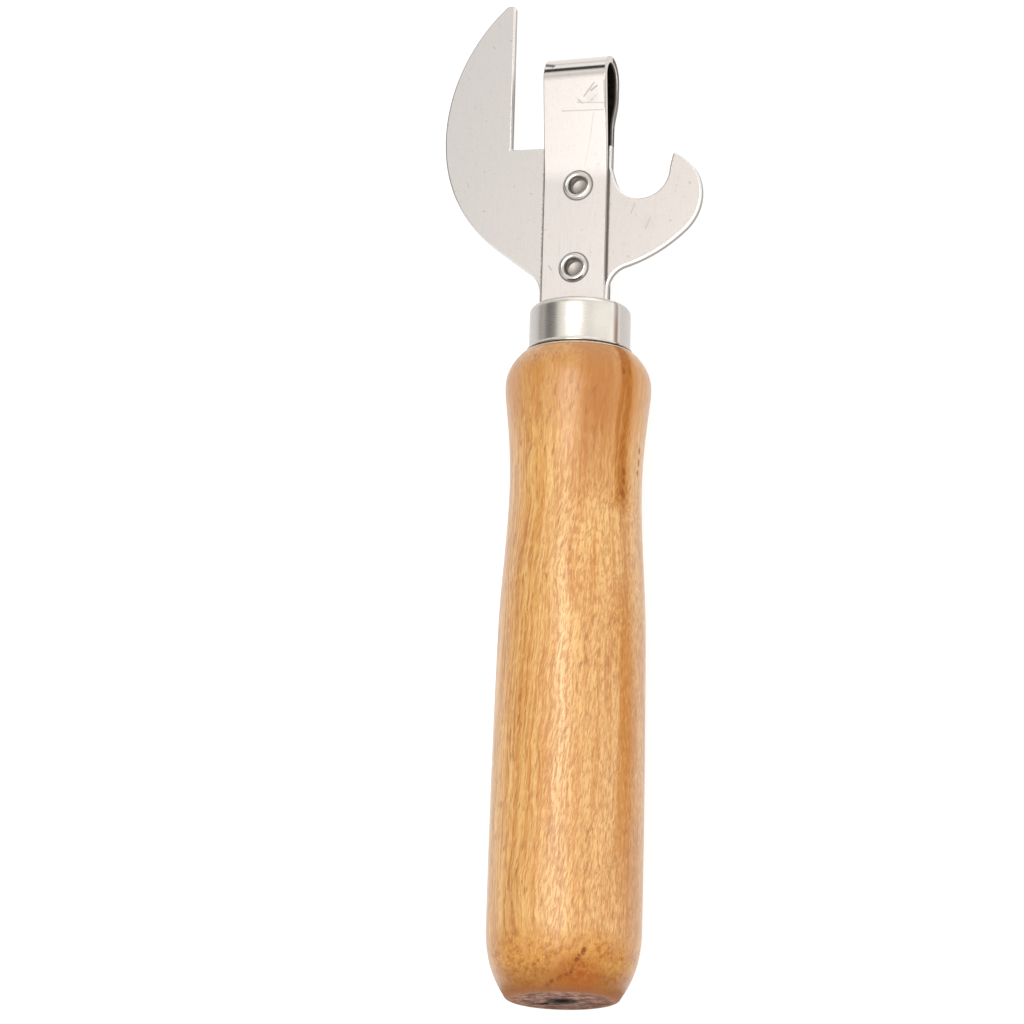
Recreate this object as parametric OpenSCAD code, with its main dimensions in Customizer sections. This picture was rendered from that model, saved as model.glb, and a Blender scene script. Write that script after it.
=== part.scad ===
// Lever can opener with a cap hook, riveted steel head and turned wooden handle.
// Millimetres. It lies on its back on a surface at z = 0: +Y runs from the butt of the
// handle to the tip of the blade, +X from the blade to the cap hook, and +Z out of the
// front face of the head. The origin is under the middle of the whole object.

/* [Overall] */
// Length from the butt of the handle to the tip of the blade
total_l = 175; // [172:0.5:182]
// Facets on a full turn of a round part
facets = 96; // [48:8:160]

/* [Handle] */
// Length of the turned body, from the butt to the shoulder under the ferrule
shoulder_y = 111.2; // [109:0.1:113]
// Radius of the flat butt face
butt_r = 9.2; // [8:0.1:10]
// Largest radius, near the butt
belly_r = 12.95; // [12.7:0.05:15]
// Smallest radius of the grip
waist_r = 11.18; // [10.5:0.02:12]
// Distance from the butt to the waist
waist_y = 88; // [84:0.5:90]
// Radius of the swelling above the waist
collar_r = 12.38; // [12.3:0.02:13.5]
// Radius at the shoulder, just outside the ferrule
shoulder_r = 9.3; // [9.2:0.05:10]
// Radius of the centre hole that the lathe leaves in the butt
centre_hole_r = 1.1; // [0.5:0.1:2]
// Depth of the centre hole
centre_hole_depth = 4; // [2:0.5:8]

/* [Ferrule] */
// Outer radius of the ferrule's wall
ferrule_r = 8.62; // [8.5:0.02:8.9]
// Thickness of the ferrule's sheet
ferrule_t = 0.65; // [0.4:0.05:0.7]
// Height of the ferrule
ferrule_h = 8.15; // [7.5:0.05:9]
// Radius of the flared lower edge
flare_r = 9; // [8.95:0.05:9.15]
// Outer radius of the turned-in top edge
top_round = 1.3; // [1.2:0.05:1.6]
// Radius of the open mouth at the top
mouth_r = 7.5; // [7.45:0.05:7.6]

/* [Blade plate] */
// Thickness of the blade plate
plate_t = 1.5; // [1.2:0.1:2]
// Straight cutting edge, measured sideways from the handle's axis
edge_x = -13.1; // [-14:0.1:-12.5]
// Bottom of the rim notch, measured from the butt
notch_y = 148.7; // [148:0.1:149]
// Left side of the tang, from the axis
tang_left = -7.3; // [-7.3:0.1:-6.8]
// Right side of the tang, from the axis
tang_right = 4.9; // [4.8:0.1:6]
// Radius of the circle at the cap hook's throat
throat_r = 5; // [4.5:0.1:5.2]
// Lowest point of the tang inside the handle, measured from the butt
tang_y = 66; // [50:1:75]
// Half the width of the narrow end of the tang
tang_half_w = 3.6; // [3:0.1:4.5]

/* [Guide strip] */
// Thickness of the folded strip
strip_t = 1.2; // [0.8:0.1:1.3]
// Width of the strip
strip_w = 11.2; // [10:0.1:11.2]
// Middle of the strip, sideways from the handle's axis
strip_x = -0.94; // [-1:0.02:-0.8]
// Top of the loop, measured from the butt
loop_top = 164.4; // [163:0.1:166]
// Outer radius of the loop
loop_r = 4.05; // [3.8:0.05:4.3]
// Lower end of the strip's legs, inside the handle
leg_y = 101; // [96:1:106]

/* [Rivets] */
// Radius of the shanks
shank_r = 1.9; // [1.5:0.1:2.2]
// Outer radius of the rolled ends on the front
roll_r = 2.55; // [2.4:0.05:3]
// Height of the rolled ends above the strip
roll_h = 0.7; // [0.4:0.05:1]
// Radius of the round heads on the back
head_r = 3.2; // [2.6:0.1:4]
// Height of the round heads
head_h = 0.95; // [0.6:0.05:1.3]
// Upper rivet, from the butt
upper_y = 140.9; // [138:0.1:142]
// Lower rivet, from the butt
lower_y = 126.3; // [125:0.1:130]

/* [Hidden] */
$fn = facets;
eps = 0.5;                          // how far a cut runs past the face that it opens

wood = [0.84, 0.6, 0.33];
polished_steel = [0.82, 0.82, 0.83];
satin_steel = [0.76, 0.75, 0.73];
rivet_steel = [0.66, 0.65, 0.64];

// Circles of the blade's back: [centre x, centre y, radius]
back_upper = [6.6, 151.1, 31.84];
back_lower = [-0.2, 150.8, 25];
back_lower_end = 232;               // angle where the lower circle runs out into a straight line
tang_fillet_left = 4.6;
tang_fillet_right = 4.06;

// Circles of the cap hook
hook_back = [1.05, 151.4, 26];
hook_r = 8.4;                       // outside of the hook
hook_turn = -47.6;                  // angle where the back of the hook meets its outside
hook_end = 63;                      // angle where the outside of the hook ends
hook_tip_r = 0.5;
hook = [hook_back[0] + (hook_back[2] - hook_r) * cos(hook_turn),
        hook_back[1] + (hook_back[2] - hook_r) * sin(hook_turn)];
hook_tip = [hook[0] + (hook_r - hook_tip_r) * cos(hook_end),
            hook[1] + (hook_r - hook_tip_r) * sin(hook_end)];
throat = [10.5, 143.3];
throat_end = 200;                   // angle where the throat runs out towards the strip
inner_edge_x = 5;                   // edge of the plate between the throat and the notch

// Places of the rivets across the head
upper_x = -0.4;
lower_x = -0.8;

// Folded strip: the middle of its thickness lies leg_z from the middle of the plate
leg_z = (plate_t + strip_t) / 2;
loop_mid_r = loop_r - strip_t / 2;
loop_y = loop_top - loop_r;
loop_rise = loop_mid_r - leg_z;
// The front leg bends away from the plate here and runs straight up to the loop
front_bend_y = 143;
front_bend_r = 25;
front_slope = asin(loop_mid_r / norm([loop_y - front_bend_y, leg_z]))
    - atan(leg_z / (loop_y - front_bend_y));
// Where the rear leg leaves the plate, and where it reaches the loop
rear_lift = [151, 158.2];

ferrule_y = shoulder_y + 0.05;
ferrule_in_r = ferrule_r - ferrule_t;
neck_y = ferrule_y + ferrule_h - 0.9;
stack_z = plate_t / 2 + strip_t;    // outer face of each leg

// The head sits off the handle's axis, so the axis is moved to centre the object on x = 0
head_left = back_lower[0] - back_lower[2];
head_right = hook[0] + hook_r;
axis_x = -(head_left + head_right) / 2;

// Outline of the turned wood: [distance from the butt, radius, slope]
stations = [
    [0, butt_r, 0.75],
    [12, belly_r, 0],
    [62, belly_r - 0.53, -0.02],
    [waist_y, waist_r, 0],
    [shoulder_y - 8.2, collar_r - 0.11, 0.12],
    [shoulder_y - 5.9, collar_r, 0],
    [shoulder_y, shoulder_r, -1.1]
];

// Points on an arc round [cx, cy], from angle a to angle b
function arc(cx, cy, r, a, b, n = 24) =
    [for (i = [0:n]) let (t = a + (b - a) * i / n) [cx + r * cos(t), cy + r * sin(t)]];

// Cubic curve from station p to station q, as [radius, distance] points
function curve(p, q, n) = [
    for (i = [0:n - 1])
        let (t = i / n, h = q[0] - p[0], rise = q[1] - p[1])
        [p[1] + rise * (3 * t * t - 2 * t * t * t) + h * p[2] * (t * t * t - 2 * t * t + t)
            + h * q[2] * (t * t * t - t * t), p[0] + h * t]
];

// One face of the front leg's bend, offset by d from the middle of the strip's thickness
function front_bend(d) = arc(
    front_bend_y - front_bend_r * tan(front_slope / 2), leg_z + front_bend_r,
    front_bend_r - d, -90, front_slope - 90, 6
);

// One face of the rear leg's double bend, with the same offset
function lift(span, d, n = 16) = [
    for (i = [0:n])
        let (s = i / n, l = span[1] - span[0], turn = atan(loop_rise / l * PI / 2 * sin(180 * s)))
        [span[0] + l * s - d * sin(turn), leg_z + loop_rise * (1 - cos(180 * s)) / 2 + d * cos(turn)]
];
function flip(points) = [for (p = points) [p[0], -p[1]]];
function backwards(points) = [for (i = [len(points) - 1:-1:0]) points[i]];

// One face of the strip, from the foot of the front leg over the loop to the foot of the rear leg
function strip_face(d) = concat(
    [[leg_y, leg_z + d]],
    front_bend(d),
    arc(loop_y, 0, loop_mid_r + d, 90 + front_slope, -90, 42),
    backwards(flip(lift(rear_lift, d))),
    [[leg_y, -leg_z - d]]
);

// Rounded left corner of the blade's tip: it touches the back of the blade and the tip's height
tip_dx = back_upper[0] - edge_x;
tip_dy = total_l - back_upper[1];
tip_b = tip_dx - tip_dy + back_upper[2];
tip_c = tip_dx * tip_dx + tip_dy * tip_dy - back_upper[2] * back_upper[2];
tip_r = max(0.3, -tip_b + sqrt(max(0, tip_b * tip_b - tip_c)));
tip_mid = [edge_x - tip_r, total_l - tip_r];
tip_angle = atan2(tip_mid[1] - back_upper[1], tip_mid[0] - back_upper[0]);

// Fillet between the blade's straight lower back and the tang
run_normal = [cos(back_lower_end), sin(back_lower_end)];
fillet_left_x = tang_left - tang_fillet_left;
fillet_left = [
    fillet_left_x,
    back_lower[1] + (back_lower[2] + tang_fillet_left - (fillet_left_x - back_lower[0]) * run_normal[0])
        / run_normal[1]
];
// Fillet between the back of the hook and the tang
fillet_right_x = tang_right + tang_fillet_right;
fillet_right = [
    fillet_right_x,
    hook_back[1] - sqrt(pow(hook_back[2] + tang_fillet_right, 2) - pow(fillet_right_x - hook_back[0], 2))
];
fillet_right_turn = atan2(fillet_right[1] - hook_back[1], fillet_right[0] - hook_back[0]);

// Tang: full width down to the feet of the strip, then narrow, with two notches a side and a blunt point
notch = [0.8, 2.9];                 // depth of a notch, and the length of its slope
notch_tops = [leg_y - 11, leg_y - 18];
tang_taper = 5;
tang_side = concat(
    [[tang_half_w, leg_y]],
    [for (y = notch_tops, step = [[0, 0], [-notch[0], -0.1], [0, -0.1 - notch[1]]])
        [tang_half_w + step[0], y + step[1]]],
    [[tang_half_w, tang_y + tang_taper], [1, tang_y]]
);

module blade_outline() {
    polygon(concat(
        [[edge_x, total_l - 0.3], [edge_x - 0.3, total_l]],
        arc(tip_mid[0], tip_mid[1], tip_r, 90, tip_angle, 6),
        arc(back_upper[0], back_upper[1], back_upper[2], tip_angle, 180, 28),
        arc(back_lower[0], back_lower[1], back_lower[2], 180, back_lower_end, 28),
        arc(fillet_left[0], fillet_left[1], tang_fillet_left, back_lower_end - 180, 0, 12),
        [[tang_left, leg_y]],
        [for (p = tang_side) [-p[0], p[1]]],
        backwards(tang_side),
        [[tang_right, leg_y]],
        arc(fillet_right[0], fillet_right[1], tang_fillet_right, 180, 180 + fillet_right_turn, 14),
        arc(hook_back[0], hook_back[1], hook_back[2], fillet_right_turn, hook_turn, 18),
        arc(hook[0], hook[1], hook_r, hook_turn, hook_end, 28),
        arc(hook_tip[0], hook_tip[1], hook_tip_r, hook_end, 175, 6),
        arc(throat[0], throat[1], throat_r, 0, throat_end - 360, 32),
        [[inner_edge_x, throat[1] + 0.9], [inner_edge_x, notch_y - 0.5], [edge_x, notch_y]]
    ));
}

module handle_outline() {
    polygon(concat(
        [[0, 0]],
        curve(stations[0], stations[1], 10),
        curve(stations[1], stations[2], 6),
        curve(stations[2], stations[3], 10),
        curve(stations[3], stations[4], 8),
        curve(stations[4], stations[5], 3),
        curve(stations[5], stations[6], 8),
        [[shoulder_r, shoulder_y], [ferrule_in_r, shoulder_y], [ferrule_in_r, neck_y - 0.8],
         [ferrule_in_r - 0.8, neck_y], [0, neck_y]]
    ));
}

// Closed outline of the ferrule's sheet: up the outside, round the top edge, down the inside
module ferrule_outline() {
    top = ferrule_y + ferrule_h;
    bend = [ferrule_r - top_round, top - top_round];
    lip_angle = acos((mouth_r - bend[0]) / (top_round - ferrule_t / 2));
    flare = flare_r - ferrule_r;
    polygon(concat(
        [[ferrule_in_r, ferrule_y], [flare_r - 0.12, ferrule_y]],
        [[flare_r, ferrule_y + 0.12], [flare_r, ferrule_y + 0.5]],
        arc(flare_r, ferrule_y + 0.5 + flare, flare, -90, -180, 4),
        arc(bend[0], bend[1], top_round, 0, lip_angle, 10),
        arc(bend[0], bend[1], top_round - ferrule_t, lip_angle, 0, 10)
    ));
}

// A part turned round the handle's axis
module turned() {
    rotate([-90, 0, 0]) rotate_extrude() children();
}

// A flat outline, made t thick about the middle of the plate
module sheet(t) {
    translate([0, 0, -t / 2]) linear_extrude(t) children();
}

// From the handle's own axis to the frame of the whole object
module place() {
    translate([axis_x, -total_l / 2, belly_r]) children();
}

module rivet_hole(x, y) {
    translate([x, y, -stack_z - eps]) cylinder(r = shank_r, h = 2 * (stack_z + eps));
}

// Round head at the back, shank through the stack, hollow end rolled over at the front
module rivet(x, y) {
    hollow_r = 2 * shank_r - roll_r + 0.25;
    roll_mid = (roll_r + hollow_r) / 2;
    roll_half = (roll_r - hollow_r) / 2;
    color(rivet_steel) place() translate([x, y, 0]) rotate_extrude()
        polygon(concat(
            [for (i = [0:10]) let (a = 90 * i / 10)
                [head_r * sin(a), -stack_z - 0.25 - (head_h - 0.25) * cos(a)]],
            [[head_r, -stack_z], [shank_r, -stack_z], [shank_r, stack_z]],
            [for (i = [0:12]) let (a = 180 * i / 12)
                [roll_mid + roll_half * cos(a), stack_z + roll_h * sin(a)]],
            [[hollow_r, 0.6], [0, 0]]
        ));
}

module handle() {
    color(wood) place() difference() {
        turned() handle_outline();
        translate([0, -eps, 0]) rotate([-90, 0, 0])
            cylinder(r = centre_hole_r, h = centre_hole_depth + eps);
        translate([tang_left, leg_y, -plate_t / 2])
            cube([tang_right - tang_left, neck_y - leg_y + eps, plate_t]);
        translate([strip_x - strip_w / 2, leg_y, -stack_z])
            cube([strip_w, neck_y - leg_y + eps, 2 * stack_z]);
        translate([-tang_half_w, tang_y, -plate_t / 2])
            cube([2 * tang_half_w, leg_y - tang_y + eps, plate_t]);
    }
}

module ferrule() {
    color(polished_steel) place() turned() ferrule_outline();
}

module blade_plate() {
    color(satin_steel) place() difference() {
        sheet(plate_t) blade_outline();
        rivet_hole(upper_x, upper_y);
        rivet_hole(lower_x, lower_y);
    }
}

module guide_strip() {
    color(satin_steel) place() difference() {
        translate([strip_x - strip_w / 2, 0, 0])
            rotate([90, 0, 90])
                linear_extrude(strip_w)
                    polygon(concat(strip_face(strip_t / 2), backwards(strip_face(-strip_t / 2))));
        rivet_hole(upper_x, upper_y);
        rivet_hole(lower_x, lower_y);
    }
}

module rivet_upper() {
    rivet(upper_x, upper_y);
}

module rivet_lower() {
    rivet(lower_x, lower_y);
}

handle();
ferrule();
blade_plate();
guide_strip();
rivet_upper();
rivet_lower();
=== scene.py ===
"""Looks of the lever can opener: finished meshes, materials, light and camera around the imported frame."""
from math import acos, cos, degrees, pi, radians, sin

import bmesh
import bpy
from mathutils import Matrix, Vector


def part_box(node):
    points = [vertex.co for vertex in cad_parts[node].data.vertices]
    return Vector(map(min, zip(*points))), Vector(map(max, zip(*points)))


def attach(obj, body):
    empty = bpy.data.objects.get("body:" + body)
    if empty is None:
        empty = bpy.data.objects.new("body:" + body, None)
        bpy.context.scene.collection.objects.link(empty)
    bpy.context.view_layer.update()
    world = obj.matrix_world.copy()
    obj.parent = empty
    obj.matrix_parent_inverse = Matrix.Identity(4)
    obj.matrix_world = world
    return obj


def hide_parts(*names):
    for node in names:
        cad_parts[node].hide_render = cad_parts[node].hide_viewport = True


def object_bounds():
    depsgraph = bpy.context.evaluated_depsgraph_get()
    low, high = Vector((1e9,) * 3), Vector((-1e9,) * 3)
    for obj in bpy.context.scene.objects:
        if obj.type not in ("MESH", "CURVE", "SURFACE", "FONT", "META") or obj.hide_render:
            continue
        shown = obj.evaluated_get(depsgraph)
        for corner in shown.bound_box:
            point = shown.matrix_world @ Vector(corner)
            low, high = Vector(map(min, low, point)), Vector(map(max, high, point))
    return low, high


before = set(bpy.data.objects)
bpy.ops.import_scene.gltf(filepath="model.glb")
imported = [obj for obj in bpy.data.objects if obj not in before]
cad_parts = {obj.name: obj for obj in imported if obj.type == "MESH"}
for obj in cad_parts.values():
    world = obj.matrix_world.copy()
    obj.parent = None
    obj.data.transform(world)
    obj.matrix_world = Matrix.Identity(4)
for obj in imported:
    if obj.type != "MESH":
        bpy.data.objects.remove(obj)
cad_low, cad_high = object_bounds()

MM = 0.001

# ---------------------------------------------------------------- sizes, in millimetres
# Turned outline of the handle: distance from the butt, radius, slope
STATIONS = ((0, 9.2, 0.75), (12, 12.95, 0), (62, 12.42, -0.02), (88, 11.18, 0),
            (103, 12.27, 0.12), (105.3, 12.38, 0), (111.2, 9.3, -1.1))
BUTT_ROUND = 0.8                                 # rounding between the butt face and the side
CENTRE_HOLE_R, CENTRE_HOLE_DEPTH = 1.1, 4.0
SPURS = ((2.7, 5.6, 204), (4.9, 7.6, 324))       # slits that the drive centre leaves: start, end, direction
SPUR_W, SPUR_DEPTH = 0.95, 1.1
BUTT_FLAT, RAW_R = 0.04, 6.0                     # raw wood: depth on the face, reach in its holes
PITH_X, PITH_Z = 14.0, -22.0                     # middle of the yearly rings, across and out from the axis
# Dark torn wood round the slits: start and end (across, out), width
TEARS = (((-5.3, -1.7), (-2.2, -2.7), 0.9), ((4.2, -3.6), (7.2, -4.4), 0.8))

FERRULE_R, FERRULE_T, TOP_ROUND, MOUTH_R = 8.62, 0.65, 1.3, 7.5
FLARE_R, FLARE_H, FLARE_ROUND = 9.0, 0.5, 0.25   # the flared lower edge

TANG_LEFT, TANG_RIGHT = -7.3, 4.9                # sides of the tang, from the handle's axis
POCKET_PINCH = 0.02                              # the pocket's faces stand this far inside the tang's faces

ROLL_R, ROLL_H, SHANK_R = 2.55, 0.7, 1.9         # rolled front end and shank of a rivet
HOLLOW_R = 1.3                                   # the dull inside of the rolled end
HEAD_R, HEAD_H, HEAD_RIM = 3.2, 0.95, 0.25       # head at the back, and the height of its straight rim

STRIP_T = 1.2                                    # sheet of the guide strip
LOOP_Y = 160.35                                  # middle of the guide strip's loop, from the butt
NOTCH_Y = 148.7                                  # floor of the rim notch, from the butt
PLATE_EDGE_ROUND, STRIP_EDGE_ROUND = 0.30, 0.16
WELD, FLAT_ANGLE = 0.002, 0.3                    # distance and degrees within which CAD facets are merged
POLE_R = 1e-6                                    # a turned ring smaller than this is a single point

# The crack near the butt, stroke by stroke: start and end (across, from the butt), width
CRACK = (((7.1, 6.7), (6.8, 5.9), 0.40), ((6.1, 5.4), (5.7, 4.6), 0.48), ((5.1, 3.5), (4.1, 2.6), 0.52),
         ((3.1, 2.2), (2.6, 1.8), 0.38), ((1.5, 1.6), (0.8, 0.9), 0.45))
# Dark specks in the wood: place (across, from the butt, out), reach
SPECKS = (((10.1, 88.6, 4.9), 0.62), ((10.15, 87.0, 4.85), 0.5), ((10.0, 84.9, 5.0), 0.7),
          ((10.3, 105.9, 6.9), 0.5), ((11.4, 93.4, 0.7), 0.5), ((11.35, 91.3, 0.6), 0.55),
          ((11.25, 89.4, 0.8), 0.5))
# Smooth darker patch in the wood below the collar
PATCH_MIDDLE, PATCH_REACH = (6.8, 98.0, 9.6), (7.4, 22.0, 7.6)

# Camera: degrees from overhead to the right, from overhead towards the butt, and round its own line
CAMERA_TURN, CAMERA_TILT, CAMERA_ROLL = 19.0, 14.783, 1.7
CAMERA_LENS, CAMERA_SENSOR = 204.56, 36.0
AIM_Y, AIM_LEFT, AIM_DOWN = 88.0, 10.782, 4.266  # the picture's middle, in millimetres

# ---------------------------------------------------------------- sizes, in metres
CAMERA_DISTANCE = 0.98363
SOFTBOX_PLACE, SOFTBOX_TARGET = Vector((0.06, -0.25, 0.75)), Vector((0.06, -0.25, 0.0))
SOFTBOX_WIDTH, SOFTBOX_LENGTH = 0.36, 1.0
FLOOR_GAP = 0.0002                               # between the opener and the floor

# ---------------------------------------------------------------- brightness, where white is 1
SOFTBOX_RADIANCE = 3.6
FLOOR_GLOW = 0.86                                # the floor's own light, which no shadow takes away

# ---------------------------------------------------------------- places, from the frame
handle_low, handle_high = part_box("handle")
AXIS = Vector(((handle_low.x + handle_high.x) / 2, handle_low.y, (handle_low.z + handle_high.z) / 2))
plate_low, plate_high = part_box("blade_plate")
strip_low, strip_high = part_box("guide_strip")
ferrule_low, ferrule_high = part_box("ferrule")

# Front and back of the three sheets that the rivets hold, and the faces that marks are placed by
stack_low = AXIS.z - (plate_high.z - plate_low.z) / 2 - STRIP_T * MM
stack_high = AXIS.z + (plate_high.z - plate_low.z) / 2 + STRIP_T * MM
plate_top = (plate_high.z - AXIS.z) / MM
strip_left, strip_right = (strip_low.x - AXIS.x) / MM, (strip_high.x - AXIS.x) / MM


def along(distance):
    """Place along the handle, from the butt in millimetres, to the frame's Y in metres."""
    return AXIS.y + distance * MM


def middle_of(node):
    low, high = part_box(node)
    return (low + high) / 2


def mark_place(node):
    """Middle of a node, in millimetres across from the axis and along from the butt."""
    middle = middle_of(node)
    return (middle.x - AXIS.x) / MM, (middle.y - AXIS.y) / MM


# ---------------------------------------------------------------- meshes
def link(name, mesh):
    piece = bpy.data.objects.new(name, mesh)
    bpy.context.scene.collection.objects.link(piece)
    return piece


def smooth(mesh, limit):
    """Smooth faces, with the edges that turn by more than limit degrees left sharp."""
    form = bmesh.new()
    form.from_mesh(mesh)
    for face in form.faces:
        face.smooth = True
    for edge in form.edges:
        edge.smooth = len(edge.link_faces) == 2 and edge.calc_face_angle(0) < radians(limit)
    form.to_mesh(mesh)
    form.free()


def finished_mesh(form, name):
    mesh = bpy.data.meshes.new(name)
    form.to_mesh(mesh)
    form.free()
    return mesh


def join_rings(form, rings, closed=False):
    """Faces between each ring of vertices and the next; a ring of one vertex is a pole."""
    turns = max(len(ring) for ring in rings)
    for a, b in zip(rings, rings[1:] + (rings[:1] if closed else [])):
        for i in range(turns):
            j = (i + 1) % turns
            corners = list(dict.fromkeys([a[i % len(a)], a[j % len(a)], b[j % len(b)], b[i % len(b)]]))
            if len(corners) > 2:
                form.faces.new(corners)
    bmesh.ops.recalc_face_normals(form, faces=form.faces)


def lathe(name, profile, turns, closed=False):
    """A mesh turned round the handle's axis from (radius, distance from the butt) points."""
    form = bmesh.new()
    rings = []
    for radius, distance in profile:
        if radius < POLE_R:
            rings.append([form.verts.new((AXIS.x, along(distance), AXIS.z))])
            continue
        rings.append([form.verts.new((AXIS.x + radius * MM * sin(2 * pi * i / turns), along(distance),
                                      AXIS.z + radius * MM * cos(2 * pi * i / turns)))
                      for i in range(turns)])
    join_rings(form, rings, closed)
    return link(name, finished_mesh(form, name))


def apply_modifiers(piece):
    """Turns the piece's modifiers into mesh."""
    graph = bpy.context.evaluated_depsgraph_get()
    mesh = bpy.data.meshes.new_from_object(piece.evaluated_get(graph))
    piece.modifiers.clear()
    piece.data = mesh
    return piece


def cut(piece, tools):
    """Cuts each tool out of the piece, then removes the tool."""
    for tool in tools:
        boolean = piece.modifiers.new("cut", "BOOLEAN")
        boolean.operation = "DIFFERENCE"
        boolean.solver = "EXACT"
        boolean.object = tool
        apply_modifiers(piece)
        bpy.data.objects.remove(tool)


def block(low, high, turn=0.0):
    """A tool for cut(): a plain box between two corners, turned about Y round its own middle."""
    form = bmesh.new()
    bmesh.ops.create_cube(form, size=1)
    low, high = Vector(low), Vector(high)
    middle, size = (low + high) / 2, high - low
    spin = Matrix.Rotation(turn, 4, "Y")
    form.transform(Matrix.Translation(middle) @ spin @ Matrix.Diagonal((*size, 1)))
    return link("tool", finished_mesh(form, "tool"))


def arc(x, y, radius, start, end, steps):
    """Points of an arc round (x, y), from the start to the end in degrees."""
    return [(x + radius * cos(radians(start + (end - start) * i / steps)),
             y + radius * sin(radians(start + (end - start) * i / steps))) for i in range(steps + 1)]


def turned_curve(p, q, steps):
    """Cubic curve between two stations, as (radius, distance) points."""
    points = []
    for i in range(steps):
        t, h, rise = i / steps, q[0] - p[0], q[1] - p[1]
        radius = (p[1] + rise * (3 * t * t - 2 * t ** 3) + h * p[2] * (t ** 3 - 2 * t * t + t)
                  + h * q[2] * (t ** 3 - t * t))
        points.append((radius, p[0] + h * t))
    return points


def handle_profile():
    """Outline from the bottom of the centre hole, over the butt face and up the side, to the neck's top."""
    neck_r = FERRULE_R - FERRULE_T
    neck_y = (handle_high.y - AXIS.y) / MM
    side = []
    for p, q in zip(STATIONS, STATIONS[1:]):
        side += turned_curve(p, q, max(6, round((q[0] - p[0]) * 1.2)))
    corner = side[0]
    side = [point for point in side if point[1] > BUTT_ROUND]
    shoulder = STATIONS[-1]
    hole = [(0, CENTRE_HOLE_DEPTH), (CENTRE_HOLE_R * 0.6, CENTRE_HOLE_DEPTH * 0.85),
            (CENTRE_HOLE_R, CENTRE_HOLE_DEPTH * 0.5), (CENTRE_HOLE_R, 0.3), (CENTRE_HOLE_R + 0.25, 0)]
    face = [(r, 0) for r in (2.2, 3.4, 4.8, 6.2, 7.5, corner[0] - BUTT_ROUND * 1.2)]
    rounding = [(corner[0] - BUTT_ROUND * (1 - sin(radians(t))) * 1.2 + 0.6 * BUTT_ROUND * sin(radians(t)),
                 BUTT_ROUND * (1 - cos(radians(t))) * 0.9) for t in (18, 34, 50, 66, 80)]
    neck = [(shoulder[1] - 0.05, shoulder[0] - 0.06), (shoulder[1] - 0.25, shoulder[0]),
            (neck_r, shoulder[0]), (neck_r, neck_y - 0.8), (neck_r - 0.8, neck_y), (3, neck_y), (0, neck_y)]
    return hole + face + rounding + side + neck


def make_handle():
    """The turned handle with the pocket for tang and strip, and the slits in its butt."""
    piece = lathe("handle_wood", handle_profile(), turns=224)
    foot, past_neck = strip_low.y, handle_high.y + MM
    left, right = AXIS.x + TANG_LEFT * MM, AXIS.x + TANG_RIGHT * MM
    pinch = POCKET_PINCH * MM
    tools = [
        block((left, foot, plate_low.z + pinch), (right, past_neck, plate_high.z - pinch)),
        block((strip_low.x, foot, stack_low), (strip_high.x, past_neck, stack_high)),
    ]
    for start, end, turn in SPURS:
        middle = AXIS + (start + end) / 2 * MM * Vector((cos(radians(turn)), 0, sin(radians(turn))))
        reach = Vector(((end - start) / 2, SPUR_DEPTH, SPUR_W / 2)) * MM
        tools.append(block(middle - reach, middle + reach, -radians(turn)))
    cut(piece, tools)
    smooth(piece.data, 30)
    return piece


def make_ferrule():
    """Sheet collar with a flared lower edge and its top edge turned in."""
    low, high = (ferrule_low.y - AXIS.y) / MM, (ferrule_high.y - AXIS.y) / MM
    bend_r, bend_y = FERRULE_R - TOP_ROUND, high - TOP_ROUND
    lip = degrees(acos((MOUTH_R - bend_r) / (TOP_ROUND - FERRULE_T / 2)))
    flare = FLARE_R - FERRULE_R
    profile = [(FERRULE_R - FERRULE_T, low), (FLARE_R - FLARE_ROUND, low)]
    profile += arc(FLARE_R - FLARE_ROUND, low + FLARE_ROUND, FLARE_ROUND, -90, 0, 5)[1:]
    profile += [(FLARE_R, low + FLARE_H - 0.08)]
    profile += arc(FLARE_R, low + FLARE_H + flare, flare, -105, -180, 6)
    profile += [(FERRULE_R, bend_y - 3.2), (FERRULE_R, bend_y - 1.2)]
    profile += arc(bend_r, bend_y, TOP_ROUND, 0, lip, 14)
    profile += arc(bend_r, bend_y, TOP_ROUND - FERRULE_T, lip, 0, 8)
    profile += [(FERRULE_R - FERRULE_T, bend_y - 3)]
    piece = lathe("ferrule_steel", profile, turns=192, closed=True)
    smooth(piece.data, 50)
    return piece


def refined(node, name, edge_round, slot_of, materials):
    """The CAD node's own shape, welded, with its edges rounded. slot_of(centre, normal) gives the place of
    a face's material in materials. The rounded edges take the second one."""
    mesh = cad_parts[node].data.copy()
    mesh.name = name
    form = bmesh.new()
    form.from_mesh(mesh)
    bmesh.ops.remove_doubles(form, verts=form.verts, dist=WELD * MM)
    bmesh.ops.dissolve_limit(form, angle_limit=radians(FLAT_ANGLE), verts=form.verts, edges=form.edges)
    form.normal_update()
    for face in form.faces:
        face.material_index = slot_of((face.calc_center_median() - AXIS) / MM, face.normal)
    mesh.materials.clear()
    for material in materials:
        mesh.materials.append(material)
    form.to_mesh(mesh)
    form.free()
    smooth(mesh, 28)
    piece = link(name, mesh)
    bevel = piece.modifiers.new("edges", "BEVEL")
    bevel.width = edge_round
    bevel.segments = 3
    bevel.limit_method = "ANGLE"
    bevel.angle_limit = radians(40)
    bevel.harden_normals = True
    bevel.material = 1
    bevel.use_clamp_overlap = False
    return apply_modifiers(piece)


def plate_slot(centre, normal):
    """0 for the two rolled faces, 2 for the sheared sides."""
    return 2 if abs(normal.z) < 0.3 else 0


def strip_slot(centre, normal):
    """0 outside, 2 for the sheared sides, 3 inside the loop."""
    if abs(normal.x) > 0.7:
        return 2
    outwards = max(0, centre.y - LOOP_Y) * normal.y + centre.z * normal.z
    return 3 if outwards < 0 else 0


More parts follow.
